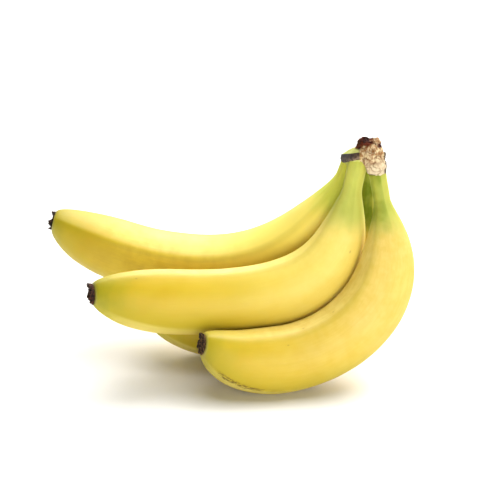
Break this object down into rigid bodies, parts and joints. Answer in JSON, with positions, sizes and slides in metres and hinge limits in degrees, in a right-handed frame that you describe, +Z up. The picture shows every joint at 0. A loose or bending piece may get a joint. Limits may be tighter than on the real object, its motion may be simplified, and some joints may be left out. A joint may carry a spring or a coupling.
{
  "type": "bunch of bananas",
  "caption": "Bunch of ripe bananas lying on its curved fingers, joined at a crown that stands up at one end.",
  "frame": {"origin": "on the surface that the bunch lies on, under the centre of its bounding box", "axes": "+Z up; +X along the bunch from the blossom ends towards the crown; -Y towards the viewer of the picture"},
  "size_m": [0.2064, 0.1097, 0.1333],
  "materials": {
    "peel": "waxy, semi-gloss",
    "crown": "fibrous, dry",
    "dried_flower": "shrivelled, matte"
  },
  "bodies": {
    "root": {"banana_back": "peel", "blossom_end_back": "dried_flower", "banana_middle": "peel", "blossom_end_middle": "dried_flower", "banana_front": "peel", "blossom_end_front": "dried_flower", "banana_under": "peel", "blossom_end_under": "dried_flower", "crown": "crown"}
  },
  "joints": []
}
